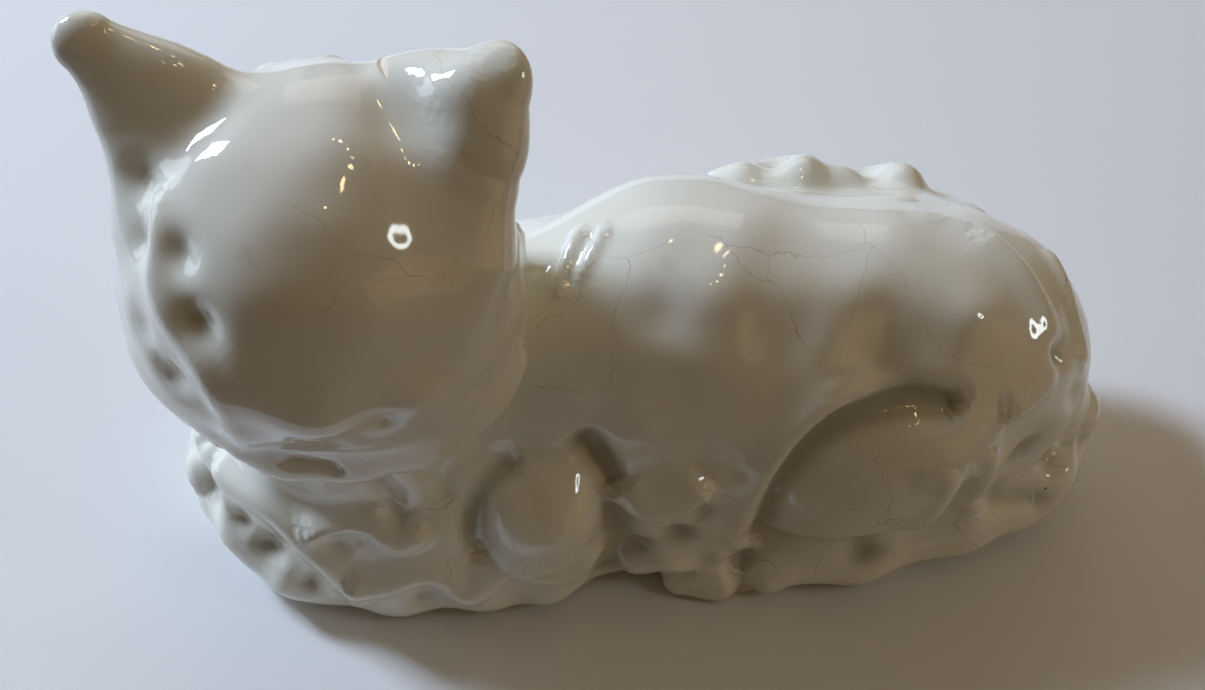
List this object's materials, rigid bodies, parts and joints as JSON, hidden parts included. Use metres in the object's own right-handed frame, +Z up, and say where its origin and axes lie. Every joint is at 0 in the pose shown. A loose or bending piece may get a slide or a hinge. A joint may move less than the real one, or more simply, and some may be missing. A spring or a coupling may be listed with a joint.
{
  "type": "ceramic cat figurine",
  "caption": "Glossy white glazed ceramic cat lying down with its head turned to one side, hollow slip-cast, for standing on a shelf or table.",
  "frame": {"origin": "middle of the object's box, on the surface that the cat stands on", "axes": "+Z up; +X along the body from the chest to the rump; +Y to the cat's right, the side that the head looks towards"},
  "size_m": [0.2554, 0.117, 0.1668],
  "materials": {
    "glaze": "glossy crazed glaze"
  },
  "bodies": {
    "root": {"body_shell": "glaze", "head_shell": "glaze", "ear_left": "glaze", "ear_right": "glaze", "tail": "glaze", "front_paw_left": "glaze", "front_paw_right": "glaze", "hind_paw_left": "glaze", "hind_paw_right": "glaze"}
  },
  "joints": []
}
